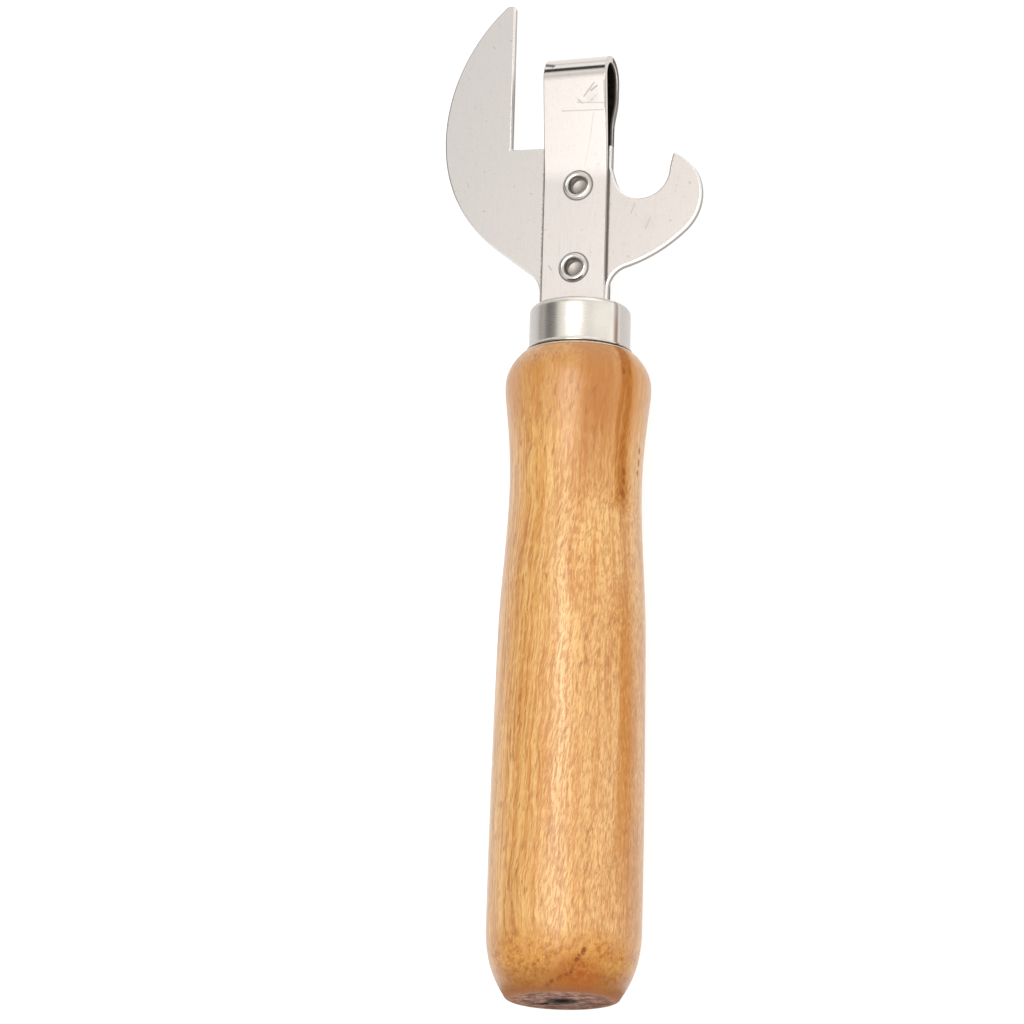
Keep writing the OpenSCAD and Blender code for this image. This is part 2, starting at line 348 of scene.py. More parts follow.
def rivet_profile(half, roll_mid, roll_half, hollow):
    """Outline from the back head's middle to the bottom of the hollow: (radius, height) points."""
    head = [(HEAD_R * sin(radians(9 * i)), -half - HEAD_RIM - (HEAD_H - HEAD_RIM) * cos(radians(9 * i)))
            for i in range(11)]
    shank = [(HEAD_R, -half), (SHANK_R, -half), (SHANK_R, half)]
    roll = [(roll_mid + roll_half * cos(radians(9 * i)), half + ROLL_H * sin(radians(9 * i)))
            for i in range(21)]
    bottom = [(hollow * 0.96, half - 0.5), (hollow * 0.8, half - 0.95), (hollow * 0.45, half - 1.15),
              (0, half - 1.2)]
    return head + shank + roll + bottom


def make_rivet(node, name, squeeze):
    """Round head at the back, rolled hollow end at the front, with its mouth squeezed a little oval."""
    middle = middle_of(node)
    half = (stack_high - stack_low) / 2 / MM
    hollow = 2 * SHANK_R - ROLL_R + 0.25         # radius of the hollow's mouth
    roll_mid, roll_half = (ROLL_R + hollow) / 2, (ROLL_R - hollow) / 2
    turns = 72
    form = bmesh.new()
    rings = []
    for radius, height in rivet_profile(half, roll_mid, roll_half, hollow):
        z = AXIS.z + height * MM
        if radius < POLE_R:
            rings.append([form.verts.new((middle.x, middle.y, z))])
            continue
        oval = squeeze if height > half - 1.1 and radius < roll_mid else 0
        ring = []
        for i in range(turns):
            angle = 2 * pi * i / turns
            reach = radius * (1 + oval * cos(2 * (angle - radians(35)))) * MM
            ring.append(form.verts.new((middle.x + reach * cos(angle), middle.y + reach * sin(angle), z)))
        rings.append(ring)
    join_rings(form, rings)
    mesh = finished_mesh(form, name)
    for face in mesh.polygons:
        spot = face.center - middle
        face.material_index = int(spot.z > 0 and Vector((spot.x, spot.y)).length < HOLLOW_R * MM)
    piece = link(name, mesh)
    smooth(mesh, 35)
    return piece


# ---------------------------------------------------------------- materials
def colour(red, green, blue):
    """A screen colour, 0 to 255, as the linear colour that shaders use."""
    def channel(value):
        value /= 255
        return value / 12.92 if value <= 0.04045 else ((value + 0.055) / 1.055) ** 2.4
    return (channel(red), channel(green), channel(blue), 1)


def tones(**screen_colours):
    return {name: colour(*tone) for name, tone in screen_colours.items()}


WOOD = tones(
    # The fourth tone on this line is a painted highlight; the second tone on the next line is painted shade
    # for the right side.
    pale=(219, 174, 108), honey=(198, 140, 68), amber=(162, 90, 28), crest=(244, 210, 152),
    collar=(180, 120, 56), right=(184, 126, 72), pore=(172, 106, 42), hole=(142, 82, 32),
    fleck=(230, 190, 130), streak=(184, 116, 24), heart=(150, 84, 12), patch=(160, 96, 42),
    curl=(198, 142, 70), curl_dark=(156, 92, 28), curl_fibre=(150, 86, 28), mottle=(206, 154, 82),
    butt=(124, 70, 22), ripple=(128, 74, 28), ember=(150, 74, 6), crack=(112, 56, 12),
    # Over these two lines, the last three tones are a darker line under the ferrule, a painted highlight
    # along the joint and a painted shadow line in the joint.
    speck=(128, 62, 16), bare=(138, 88, 60), joint_dirt=(128, 72, 30), bead=(240, 220, 180),
    joint=(52, 36, 26))
VARNISH = (0.93, 0.915, 0.90, 1)                 # the coat deepens every tone a little
END_GRAIN = tones(
    pale=(172, 132, 114), brown=(102, 66, 52), shaded=(74, 46, 36), ring=(80, 48, 34), pore=(52, 32, 22),
    hole=(28, 17, 12), tear=(40, 22, 16), rim=(158, 110, 76))
STEEL = tones(
    # The last tone on this line serves dirt and painted shade alike; the two on the next line are painted
    # shade inside the loop.
    brushed=(120, 112, 106), fine=(150, 141, 136), spot=(128, 118, 112), grime=(44, 38, 34),
    grease=(12, 9, 8), thin_grease=(34, 27, 23))
FERRULE = tones(
    # Of these tones the third is painted shade for the sides, the fourth and fifth a painted brown
    # reflection line, and the sixth a painted shadow at the foot.
    warm=(232, 226, 215), cool=(226, 218, 211), side=(174, 167, 165), tarnish=(146, 136, 130),
    rust=(130, 104, 84), foot=(50, 40, 34), fine=(150, 140, 132))


class Shader:
    """A node tree built by short calls. Every value is a number, a vector, a colour or another output."""

    def __init__(self, owner):
        self.owner = owner
        owner.use_nodes = True
        self.tree = owner.node_tree
        self.tree.nodes.clear()

    def node(self, kind, **values):
        """A new node. Each value goes to the input of that name, with _ for a space."""
        made = self.tree.nodes.new("ShaderNode" + kind)
        for key, value in values.items():
            self.give(made.inputs[key.replace("_", " ")], value)
        return made

    def give(self, socket, value):
        if isinstance(value, bpy.types.NodeSocket):
            self.tree.links.new(value, socket)
        else:
            socket.default_value = value

    def math(self, operation, *values):
        made = self.tree.nodes.new("ShaderNodeMath")
        made.operation = operation
        for socket, value in zip(made.inputs, values):
            self.give(socket, value)
        return made.outputs[0]

    def times(self, a, b):
        return self.math("MULTIPLY", a, b)

    def plus(self, a, b):
        return self.math("ADD", a, b)

    def minus(self, a, b):
        return self.math("SUBTRACT", a, b)

    def most(self, a, b):
        return self.math("MAXIMUM", a, b)

    def spread(self, noise, width):
        """A noise of middle 0.5 as a shift by up to half the width either way."""
        return self.times(self.minus(noise, 0.5), width)

    def bearing(self, x, z):
        """Degrees round the Y axis: 0 towards +Z, growing towards +X."""
        return self.times(self.math("ARCTAN2", x, z), 180 / pi)

    def vector(self, operation, *values):
        made = self.tree.nodes.new("ShaderNodeVectorMath")
        made.operation = operation
        for socket, value in zip(made.inputs, values):
            self.give(socket, value)
        is_number = operation in ("LENGTH", "DISTANCE", "DOT_PRODUCT")
        return made.outputs["Value" if is_number else "Vector"]

    def parts(self, vector):
        return self.node("SeparateXYZ", Vector=vector).outputs

    def join(self, x, y, z):
        return self.node("CombineXYZ", X=x, Y=y, Z=z).outputs[0]

    def step(self, value, low, high, kind="SMOOTHSTEP"):
        """0 below low and 1 above high; with low above high it is 1 below and 0 above."""
        falls = low > high
        made = self.node("MapRange", Value=value, From_Min=min(low, high), From_Max=max(low, high),
                         To_Min=float(falls), To_Max=float(not falls))
        made.interpolation_type = kind
        return made.outputs[0]

    def between(self, value, start, full, fade, end):
        """1 from full to fade, and 0 before start and after end."""
        return self.times(self.step(value, start, full), self.step(value, end, fade))

    def noise(self, vector, scale=1.0, detail=3.0, roughness=0.5, distortion=0.0):
        return self.node("TexNoise", Vector=vector, Scale=scale, Detail=detail, Roughness=roughness,
                         Distortion=distortion).outputs[0]

    def mix(self, amount, a, b, blend="MIX"):
        """Colour between a and b."""
        made = self.tree.nodes.new("ShaderNodeMix")
        made.data_type, made.blend_type = "RGBA", blend
        self.give(made.inputs[0], amount)
        self.give(made.inputs[6], a)
        self.give(made.inputs[7], b)
        return made.outputs[2]

    def tint(self, base, tone, mask, strength):
        """The base colour, mixed with the tone by up to strength where the mask is 1."""
        return self.mix(self.times(mask, strength), base, tone)

    def blend(self, amount, a, b):
        """Number between a and b."""
        made = self.tree.nodes.new("ShaderNodeMix")
        made.data_type = "FLOAT"
        self.give(made.inputs[0], amount)
        self.give(made.inputs[2], a)
        self.give(made.inputs[3], b)
        return made.outputs[0]

    def bump(self, height, distance, strength):
        return self.node("Bump", Height=height, Distance=distance, Strength=strength).outputs[0]

    def place(self):
        """Position in millimetres: across, along and out from the handle's axis, 0 at the butt."""
        spot = self.node("TexCoord").outputs["Object"]
        return self.vector("DIVIDE", self.vector("SUBTRACT", spot, tuple(AXIS)), (MM, MM, MM))

    def finish(self, surface):
        out = self.node("OutputMaterial")
        self.tree.links.new(surface.outputs[0], out.inputs["Surface"])
        return self.owner


def grain(s, place, across, lengthwise, slant=0.0, **kinds):
    """Noise stretched along the handle: across and lengthwise are cells per millimetre."""
    x, y, z = s.parts(place)
    leaned = s.minus(x, s.times(y, slant))
    return s.noise(s.join(s.times(leaned, across), s.times(y, lengthwise), s.times(z, across)), **kinds)


def dot_mask(s, place, middle, reach, wobble, full=0.45):
    """1 at the middle and up to full of the reach, fading to 0 at the reach. Both are in millimetres."""
    scaled = s.vector("DIVIDE", s.vector("SUBTRACT", place, middle), reach)
    return s.step(s.plus(s.vector("LENGTH", scaled), wobble), 1.0, full)


class Timber:
    """Places and noises that the layers of the wood share: y is in millimetres from the butt, and turn in
    degrees round the handle, 0 at the front."""

    def __init__(self, s):
        self.plain = s.place()
        self.x, self.y, self.z = s.parts(self.plain)
        self.patchy = s.noise(self.plain, scale=0.09, detail=2)
        self.turn = s.plus(s.bearing(self.x, self.z), s.spread(self.patchy, 7))
        self.place = s.join(s.plus(self.x, s.spread(self.patchy, 2.4)), self.y, self.z)
        self.streaks = grain(s, self.place, 0.9, 0.022, slant=0.02, detail=3, roughness=0.65)
        self.fibres = grain(s, self.place, 3.0, 0.06, slant=0.03, detail=3, roughness=0.6)
        self.short = grain(s, self.place, 3.5, 0.60, slant=0.15, detail=3, roughness=0.6)
        self.curl = s.noise(self.plain, scale=1.3, detail=4, roughness=0.65, distortion=0.5)
        self.torn = s.noise(self.plain, scale=1.1, detail=3, roughness=0.7)


def wood_figure(s, wood):
    """Honey-coloured wood with long streaks and fine fibres, which show most on the left."""
    broad = grain(s, wood.place, 0.14, 0.010, detail=2)
    base = s.mix(s.step(wood.streaks, 0.36, 0.66), WOOD["pale"], WOOD["honey"])
    base = s.tint(base, WOOD["amber"], s.step(broad, 0.48, 0.70), 0.35)
    left = s.step(wood.turn, -4, -24)
    return s.tint(base, WOOD["amber"], s.step(wood.fibres, 0.46, 0.64), s.blend(left, 0.36, 0.70))


def crest_and_collar(s, wood, base):
    """A pale painted highlight down the front of the handle, the darker collar, and painted shade on the
    right side.
    """
    # Painted highlight: a pale streak down the front, where the light shows in the varnish.
    middle = s.minus(17.5, s.times(wood.y, 0.14))
    crest = s.step(s.math("ABSOLUTE", s.minus(wood.turn, middle)), 10, 0)
    crest = s.times(crest, s.step(wood.y, 7.0, 9.5))
    crest = s.times(crest, s.blend(s.step(wood.y, 92, 62), 0.25, 1.0))
    crest = s.times(crest, s.step(wood.streaks, 0.62, 0.40))
    base = s.tint(base, WOOD["crest"], crest, 0.28)
    base = s.tint(base, WOOD["collar"], s.step(wood.y, 91, 102), 0.54)
    # Painted shade: the right side of the handle is darkened.
    right = s.times(s.step(wood.turn, 20, 34), s.step(wood.y, 78, 58))
    return s.tint(base, WOOD["right"], right, 0.26)


def pores_and_flecks(s, wood, base):
    """Pores, cut open by the turning tool: dense from the middle to the right, few on the left and in the
    collar. Gives the colour and the mask of the pores."""
    coarse = grain(s, wood.place, 1.7, 0.32, slant=0.14, detail=2, roughness=0.5)
    dense = s.times(s.step(wood.turn, -22, 12), s.step(wood.y, 100, 82))
    pores = s.times(s.step(wood.short, 0.50, 0.60), s.blend(dense, 0.40, 1.0))
    holes = s.times(s.step(coarse, 0.58, 0.68), s.step(wood.patchy, 0.36, 0.56))
    base = s.tint(base, WOOD["pore"], pores, 0.55)
    base = s.tint(base, WOOD["hole"], holes, 0.52)
    fewer = s.blend(s.step(wood.y, 88, 102), 0.38, 0.10)
    base = s.tint(base, WOOD["fleck"], s.step(wood.short, 0.45, 0.36), fewer)
    return base, s.most(pores, holes)


def dark_streak(s, wood, base):
    """Dark streak down the right side, darkest in the collar and lost towards the butt. Gives the colour
    and the mask of the streak."""
    start = s.minus(62.0, s.times(wood.y, 0.10))
    inside = s.plus(s.minus(wood.turn, start), s.spread(wood.streaks, 18))
    near_collar = s.step(wood.y, 76, 86)
    band = s.between(inside, -7, 8, 9, 24)
    band = s.times(band, s.blend(s.step(wood.y, 10, 40), 0.25, 1.0))
    band = s.times(band, s.blend(s.between(wood.y, 56, 74, 79, 85), 1.0, 0.35))
    band = s.times(band, s.blend(near_collar, 0.80, 1.0))
    base = s.tint(base, WOOD["streak"], band, 0.64)
    heart = s.between(inside, -1, 6, 9, 17)
    heart = s.times(heart, s.blend(near_collar, 0.20, 0.86))
    heart = s.times(heart, s.blend(s.step(wood.short, 0.38, 0.60), 0.55, 1.0))
    heart = s.times(heart, s.step(wood.y, 18, 50))
    return s.mix(heart, base, WOOD["heart"]), band


def curled_end(s, wood, base):
    """Towards the butt the cut runs across the grain: the figure curls and turns darker. Gives the colour
    and the mask of that end."""
    ragged = s.plus(wood.y, s.spread(wood.streaks, 12))
    end = s.step(s.plus(ragged, s.spread(wood.patchy, 8)), 11.5, 4.5)
    mottled = s.noise(wood.plain, scale=0.55, detail=2, distortion=0.6)
    curled = s.mix(s.step(wood.curl, 0.34, 0.66), WOOD["curl"], WOOD["curl_dark"])
    curled = s.tint(curled, WOOD["curl_fibre"], s.step(wood.fibres, 0.4, 0.7), 0.3)
    curled = s.tint(curled, WOOD["mottle"], s.step(mottled, 0.40, 0.62), 0.45)
    curled = s.tint(curled, WOOD["butt"], s.step(wood.y, 6.0, 0), 0.9)
    curled = s.tint(curled, WOOD["ripple"], s.step(wood.curl, 0.50, 0.60), 0.22)
    base = s.tint(base, curled, end, 0.88)
    ember = dot_mask(s, wood.plain, (5.6, 2.8, 9.0), (5.2, 3.9, 7.0), s.spread(wood.curl, 1.8))
    return s.tint(base, WOOD["ember"], ember, s.blend(s.step(wood.curl, 0.40, 0.58), 0.40, 0.75)), end


def crack_and_specks(s, wood, base):
    """A broken crack near the butt, and dark specks. Gives the colour and the mask of both."""
    flat = s.join(wood.x, wood.y, 0.0)
    crack = 0.0
    for start, end, width in CRACK:
        crack = s.most(crack, line_mask(s, flat, start, end, width, s.spread(wood.torn, 2.2)))
    crack = s.times(s.times(crack, s.step(wood.z, 0, 4)), s.blend(s.step(wood.curl, 0.4, 0.55), 0.35, 1.0))
    base = s.tint(base, WOOD["crack"], crack, 0.82)
    dirt = crack
    for spot, reach in SPECKS:
        speck = dot_mask(s, wood.plain, spot, (reach, reach * 1.7, reach), s.spread(wood.torn, 1.8))
        base = s.tint(base, WOOD["speck"], speck, 0.60)
        dirt = s.most(dirt, speck)
    return base, dirt


def worn_ends(s, wood, base):
    """The rim of the butt is bare and grubby. Under the ferrule come a darker line on the wood, a painted
    highlight along the joint and a painted shadow line in the joint."""
    bare = s.plus(wood.y, s.spread(wood.torn, 2.0))
    base = s.tint(base, WOOD["bare"], s.step(bare, 1.1, 0.4), 0.40)
    rim = s.plus(wood.y, s.spread(wood.curl, 0.3))
    # A darker line on the wood just under the ferrule.
    base = s.tint(base, WOOD["joint_dirt"], s.between(rim, 110.35, 110.5, 110.6, 110.75), 0.45)
    # Painted highlight: a thin pale line along the joint.
    base = s.tint(base, WOOD["bead"], s.between(rim, 110.65, 110.8, 110.95, 111.02), 0.7)
    # Painted shadow line in the joint under the ferrule.
    return s.tint(base, WOOD["joint"], s.step(rim, 110.98, 111.06), 0.9)


def varnished_wood():
    """The side of the handle. The coat is thin where the wood is dark, dirty or cut across the grain."""
    s = Shader(bpy.data.materials.new("varnished_wood"))
    wood = Timber(s)
    base = crest_and_collar(s, wood, wood_figure(s, wood))
    base, pores = pores_and_flecks(s, wood, base)
    base, band = dark_streak(s, wood, base)
    patch = dot_mask(s, wood.plain, PATCH_MIDDLE, PATCH_REACH, s.spread(wood.patchy, 0.8), 0.0)
    base = s.tint(base, WOOD["patch"], patch, 0.62)
    base, end = curled_end(s, wood, base)
    base, dirt = crack_and_specks(s, wood, base)
    base = worn_ends(s, wood, base)
    base = s.mix(1.0, base, VARNISH, "MULTIPLY")

    height = s.minus(s.times(wood.fibres, 0.4), s.times(pores, 0.8))
    film = s.plus(grain(s, wood.plain, 0.35, 0.05, detail=2), s.times(height, 0.22))
    film = s.plus(film, s.times(s.times(wood.curl, end), 0.35))
    facing_up = s.step(s.math("ABSOLUTE", s.minus(wood.turn, 20)), 76, 44)
    bare = s.most(s.times(band, 0.88), s.times(s.times(end, facing_up), 0.86))
    bare = s.most(bare, s.times(patch, 0.55))
    bare = s.most(bare, s.times(dirt, 0.9))
    bare = s.most(bare, s.times(s.step(wood.y, 2.6, 0.9), 0.9))
    shader = s.node("BsdfPrincipled", Base_Color=base, Roughness=s.blend(wood.fibres, 0.42, 0.6),
                    Normal=s.bump(height, 0.06 * MM, 0.6))
    shader.inputs["Specular IOR Level"].default_value = 0.15
    s.give(shader.inputs["Coat Weight"], s.minus(0.9, bare))
    shader.inputs["Coat Roughness"].default_value = 0.30
    shader.inputs["Coat IOR"].default_value = 1.6
    s.give(shader.inputs["Coat Normal"], s.bump(film, 0.14 * MM, 0.6))
    return s.finish(shader)


def raw_end_grain():
    """Bare butt face: yearly rings, torn pores and the dirt of years."""
    s = Shader(bpy.data.materials.new("raw_end_grain"))
    place = s.place()
    x, y, z = s.parts(place)
    radius = s.vector("LENGTH", s.join(x, 0.0, z))
    cloud = s.noise(s.join(x, 0.0, s.times(z, 1.4)), scale=0.45, detail=3, roughness=0.6)
    dots = s.noise(s.join(x, 0.0, z), scale=2.4, detail=3, roughness=0.7)
    from_pith = s.vector("LENGTH", s.join(s.minus(x, PITH_X), 0.0, s.minus(z, PITH_Z)))
    rings = s.math("SINE", s.plus(s.times(from_pith, 4.5), s.times(cloud, 5)))
    base = s.mix(s.step(cloud, 0.35, 0.62), END_GRAIN["pale"], END_GRAIN["brown"])
    base = s.tint(base, END_GRAIN["shaded"], s.step(z, 4.0, -8.0), 0.55)
    base = s.tint(base, END_GRAIN["ring"], s.step(rings, 0.2, 0.9), 0.35)
    base = s.tint(base, END_GRAIN["pore"], s.step(dots, 0.50, 0.68), 0.75)
    ragged = s.spread(dots, 1.6)
    # Painted shade: near black in and round the centre hole.
    base = s.tint(base, END_GRAIN["hole"], s.step(s.plus(radius, ragged), 3.3, 2.0), 0.95)
    flat = s.join(x, z, 0.0)
    for start, end, width in TEARS:
        mark = line_mask(s, flat, start, end, width, ragged)
        base = s.tint(base, END_GRAIN["tear"], mark, 0.88)
    base = s.tint(base, END_GRAIN["rim"], s.step(s.plus(radius, ragged), 7.2, 9.0), 0.70)
    normal = s.bump(s.plus(dots, s.times(rings, 0.2)), 0.15 * MM, 0.8)
    shader = s.node("BsdfPrincipled", Base_Color=base, Roughness=s.blend(dots, 0.6, 0.9), Normal=normal)
    shader.inputs["Specular IOR Level"].default_value = 0.12
    return s.finish(shader)


def line_mask(s, flat, start, end, width, wobble):
    """1 within width of the line from start to end, in millimetres, fading out; wobble shifts its edge."""
    a, b = Vector((*start, 0)), Vector((*end, 0))
    direction = (b - a).normalized()
    from_start = s.vector("SUBTRACT", flat, tuple(a))
    run = s.vector("DOT_PRODUCT", from_start, tuple(direction))
    run = s.math("MINIMUM", s.most(run, 0.0), (b - a).length)
    nearest = s.join(s.times(run, direction.x), s.times(run, direction.y), 0.0)
    gap = s.plus(s.vector("DISTANCE", from_start, nearest), s.times(wobble, width))
    return s.step(gap, width, width * 0.35)


def steel(name, pale, dark, rough, brushed=0.5, specks=0.5, lines=(), rings=(), smears=(), bend_rough=None,
          shade=None):
    """Satin sheet steel. Its marks of wear, dirt or painted shade are lines (start, end, width, strength),
    rings (middle, radius, width, strength) and smears (middle, reach, strength), in millimetres from the
    handle's axis and butt. bend_rough is the roughness at the top of the loop, and shade(s, x, y, z) is one
    more mask of dirt or painted shade."""
    s = Shader(bpy.data.materials.new(name))
    place = s.place()
    x, y, z = s.parts(place)
    cloud = s.noise(place, scale=0.10, detail=3, roughness=0.55)
    brush = s.noise(s.join(s.times(x, 7.0), s.times(y, 0.22), s.times(z, 7.0)), scale=1, detail=2)
    fine = s.noise(place, scale=5.0, detail=2, roughness=0.6)
    spots = s.noise(place, scale=1.1, detail=3, roughness=0.75)
    across = s.minus(x, s.times(s.minus(y, 140.0), 0.5))
    # Paler towards the lower right and darker towards the upper left.
    worn_side = s.plus(across, s.spread(cloud, 20))
    base = s.mix(s.step(worn_side, -30, 16, "LINEAR"), dark, pale)
    base = s.tint(base, STEEL["brushed"], s.step(brush, 0.50, 0.75), 0.22 * brushed)
    base = s.tint(base, STEEL["fine"], s.step(fine, 0.50, 0.72), 0.16)
    base = s.tint(base, STEEL["spot"], s.step(spots, 0.63, 0.72), specks)

    flat = s.join(x, y, 0.0)
    wobble = s.spread(fine, 1.1)
    worn = 0.0
    for start, end, width, strength in lines:
        mark = s.times(line_mask(s, flat, start, end, width, wobble), strength)
        worn = s.most(worn, mark)
    for middle, radius, width, strength in rings:
        gap = s.math("ABSOLUTE", s.minus(s.vector("DISTANCE", flat, (*middle, 0)), radius))
        gap = s.plus(gap, s.times(wobble, width * 0.6))
        worn = s.most(worn, s.times(s.step(gap, width, width * 0.35), strength))
    for middle, reach, strength in smears:
        gap = s.math("DIVIDE", s.vector("DISTANCE", flat, (*middle, 0)), reach)
        gap = s.plus(gap, s.spread(cloud, 1.6))
        worn = s.most(worn, s.times(s.step(gap, 1.0, 0.0), strength))
    if shade:
        worn = s.most(worn, shade(s, x, y, z))
    # Scratches, dirt and painted shade all darken to the one colour.
    base = s.mix(worn, base, STEEL["grime"])
    rough_value = s.blend(brush, rough * 0.85, rough * 1.2)
    if bend_rough is not None:
        rough_value = s.blend(s.step(y, 159.2, 160.6), rough_value, bend_rough)
    rough_value = s.plus(rough_value, s.times(worn, 0.3))
    height = s.plus(s.times(brush, 0.6 * brushed), s.times(fine, 0.4))
    height = s.minus(height, worn)
    normal = s.bump(height, 0.012 * MM, 0.5)
    shader = s.node("BsdfPrincipled", Base_Color=base, Roughness=rough_value, Normal=normal)
    s.give(shader.inputs["Metallic"], s.minus(1.0, s.times(worn, 0.9)))
    shader.inputs["Specular IOR Level"].default_value = 0.1
    return s.finish(shader)


def old_grease():
    """Painted shade inside the folded strip: near black, with a painted lit band along its right edge."""
    s = Shader(bpy.data.materials.new("inner_steel"))
    place = s.place()
    cloud = s.noise(place, scale=0.8, detail=4, roughness=0.6)
    # Painted shade: the inside of the loop is near black.
    base = s.mix(s.step(cloud, 0.35, 0.7), STEEL["grease"], STEEL["thin_grease"])
    # Painted light: paler along the right edge.
    rub = s.step(s.parts(place)[0], strip_right - 0.55, strip_right - 0.15)
    base = s.tint(base, STEEL["brushed"], rub, 0.8)
    normal = s.bump(cloud, 0.05 * MM, 0.6)
    shader = s.node("BsdfPrincipled", Base_Color=base, Roughness=s.blend(cloud, 0.6, 0.85), Normal=normal)
    shader.inputs["Specular IOR Level"].default_value = 0.05
    return s.finish(shader)


def polished_steel():
    """The ferrule: brushed round, with painted shade on both sides, a painted brown reflection line down
    its right side and a painted shadow at its foot.
    """
    s = Shader(bpy.data.materials.new("ferrule_steel"))
    place = s.place()
    x, y, z = s.parts(place)
    radius = s.vector("LENGTH", s.join(x, 0.0, z))
    rings = s.noise(s.join(0.0, s.times(y, 7.0), 0.0), scale=1, detail=3)
    haze = s.noise(place, scale=0.3, detail=3)
    fine = s.noise(place, scale=6.0, detail=2)
    turn = s.bearing(x, z)
    base = s.mix(s.step(haze, 0.35, 0.7), FERRULE["warm"], FERRULE["cool"])
    # Painted shade: both sides of the ferrule are darkened.
    sides = s.most(s.step(turn, -22, -34), s.step(turn, 64, 72))
    base = s.tint(base, FERRULE["side"], sides, 0.75)
    # Painted reflection: a brown line down the right side.
    tarnish = s.between(turn, 57, 63.5, 64.5, 69)
    brown = s.mix(s.step(y, 118, 114), FERRULE["tarnish"], FERRULE["rust"])
    base = s.tint(base, brown, tarnish, 0.9)
    ferrule_y = (ferrule_low.y - AXIS.y) / MM
    # Painted shadow at the foot of the ferrule, where it meets the wood.
    foot = s.step(y, ferrule_y + 0.34, ferrule_y + 0.12)
    base = s.tint(base, FERRULE["foot"], foot, 0.85)
    base = s.tint(base, FERRULE["fine"], s.step(fine, 0.62, 0.72), 0.15)
    rough_value = s.blend(rings, 0.23, 0.31)
    normal = s.bump(s.plus(rings, s.times(fine, 0.3)), 0.004 * MM, 0.5)
    shader = s.node("BsdfPrincipled", Base_Color=base, Roughness=rough_value, Normal=normal)
    shader.inputs["Metallic"].default_value = 1.0
    return s.finish(shader)


def floor_paper():
    """White paper on a light table: most of its brightness is its own, so shadows stay faint."""
    s = Shader(bpy.data.materials.new("floor_paper"))
    spot = s.node("TexCoord").outputs["Object"]
    mottle = s.noise(spot, scale=60, detail=3)
    base = s.mix(mottle, (0.20, 0.20, 0.20, 1), (0.22, 0.22, 0.22, 1))
    shader = s.node("BsdfPrincipled", Base_Color=base, Roughness=0.9)
    shader.inputs["Specular IOR Level"].default_value = 0.0
    shader.inputs["Emission Color"].default_value = (1, 1, 1, 1)
    shader.inputs["Emission Strength"].default_value = FLOOR_GLOW
    return s.finish(shader)


# ---------------------------------------------------------------- camera, light and floor
def aim_camera():
    """Looks down on the front of the head, from its right and a little from the butt's side."""
    turn, tilt, roll = radians(CAMERA_TURN), radians(CAMERA_TILT), radians(CAMERA_ROLL)
    back = Vector((sin(turn) * cos(tilt), -sin(tilt), cos(turn) * cos(tilt)))
    up = Vector((sin(turn) * sin(tilt), cos(tilt), cos(turn) * sin(tilt)))
    right = up.cross(back)
    right, up = cos(roll) * right + sin(roll) * up, cos(roll) * up - sin(roll) * right
    aim = Vector((AXIS.x, along(AIM_Y), AXIS.z)) - AIM_LEFT * MM * right - AIM_DOWN * MM * up
    data = bpy.data.cameras.new("camera")
    data.lens, data.sensor_width = CAMERA_LENS, CAMERA_SENSOR
    data.clip_start, data.clip_end = 0.01, 20
    camera = bpy.data.objects.new("camera", data)
    turned = Matrix((right, up, back)).transposed().to_4x4()
    camera.matrix_world = Matrix.Translation(aim + back * CAMERA_DISTANCE) @ turned
    bpy.context.scene.collection.objects.link(camera)
    bpy.context.scene.camera = camera


def make_softbox():
    """A long softbox overhead, set back towards the butt and a little to the right."""
    data = bpy.data.lights.new("softbox", "AREA")
    data.shape, data.size, data.size_y = "RECTANGLE", SOFTBOX_WIDTH, SOFTBOX_LENGTH
    data.energy = SOFTBOX_RADIANCE * pi * SOFTBOX_WIDTH * SOFTBOX_LENGTH
    light = bpy.data.objects.new("softbox", data)
    aimed = (SOFTBOX_TARGET - SOFTBOX_PLACE).to_track_quat("-Z", "Y").to_matrix().to_4x4()
    light.matrix_world = Matrix.Translation(SOFTBOX_PLACE) @ aimed
    bpy.context.scene.collection.objects.link(light)


def studio_world():
    """A white tent, dimmer towards the left and towards the far end. It is brighter at the very end, high
    up on the far side and in a panel on the right. A small dark flag hangs low on the left, and there is
    a small dark gap at the far left."""
    world = bpy.data.worlds.new("studio")
    bpy.context.scene.world = world
    s = Shader(world)
    x, y, z = s.parts(s.node("TexCoord").outputs["Generated"])
    turn = s.bearing(x, z)
    level = s.blend(s.step(turn, -95, -25), 0.62, 0.98)
    level = s.times(level, s.blend(s.step(y, -0.6, 0.6), 1.18, 0.84))
    flag = s.times(s.between(turn, -74, -66, -40, -33), s.between(y, -0.02, 0.08, 0.44, 0.58))
    level = s.times(level, s.minus(1.0, s.times(flag, 0.84)))
    right_panel = s.between(turn, 40, 58, 86, 98)
    level = s.times(level, s.blend(right_panel, 1.0, 1.2))
    far_end = s.step(y, 0.75, 0.90)
    level = s.times(level, s.blend(far_end, 1.0, 1.6))
    high_patch = s.times(s.step(y, 0.34, 0.50), s.step(z, 0.74, 0.80))
    level = s.times(level, s.blend(high_patch, 1.0, 1.3))
    gap = s.times(s.step(y, 0.45, 0.60), s.between(z, 0.46, 0.51, 0.69, 0.74))
    gap = s.times(gap, s.between(x, -0.42, -0.37, -0.26, -0.21))
    level = s.times(level, s.minus(1.0, s.times(gap, 0.97)))
    background = s.node("Background", Color=s.join(level, level, s.times(level, 0.985)), Strength=1.0)
    out = s.node("OutputWorld")
    s.tree.links.new(background.outputs[0], out.inputs["Surface"])


def make_floor():
    """A square of paper just under the opener."""
    form = bmesh.new()
    bmesh.ops.create_grid(form, x_segments=1, y_segments=1, size=1.5)
    floor = link("floor", finished_mesh(form, "floor"))
    floor.location.z = cad_low[2] - FLOOR_GAP
    floor.data.materials.append(floor_paper())


